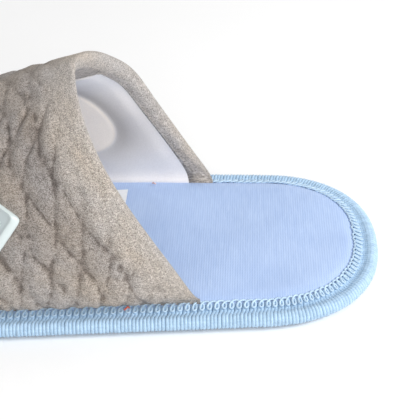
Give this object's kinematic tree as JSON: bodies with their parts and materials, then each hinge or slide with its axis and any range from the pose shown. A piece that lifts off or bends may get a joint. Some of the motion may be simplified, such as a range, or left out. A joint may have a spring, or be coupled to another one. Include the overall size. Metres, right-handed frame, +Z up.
{
  "type": "spa slipper",
  "caption": "Closed-toe spa slipper with a quilted padded upper, fleece lining, overlocked sole edge and a soft side patch.",
  "frame": {"origin": "on the floor under the middle of the sole's length and width", "axes": "+X points to the toe, +Y to the wearer's left, which is the outer side of this left-foot slipper, and +Z up"},
  "size_m": [0.272, 0.1074, 0.087],
  "materials": {
    "outsole_foam": "matt closed-cell foam",
    "soft_foam": "soft white foam and padding",
    "insole_cloth": "plain woven cloth",
    "label": "smooth woven ribbon, blank",
    "binding_yarn": "soft overlocking yarn",
    "marl_jersey": "fine mixed-colour jersey",
    "fleece": "short brushed pile",
    "badge": "satin soft moulding, blank"
  },
  "bodies": {
    "root": {"outsole": "outsole_foam", "midsole_foam": "soft_foam", "insole_sponge": "soft_foam", "insole_cover": "insole_cloth", "insole_label": "label", "edge_binding": "binding_yarn", "top_chain_stitch": "binding_yarn", "bottom_chain_stitch": "binding_yarn", "upper_shell": "marl_jersey", "upper_wadding": "soft_foam", "upper_lining": "fleece", "throat_facing": "marl_jersey", "facing_seam": "fleece", "side_badge": "badge", "badge_stitching": "badge"}
  },
  "joints": []
}
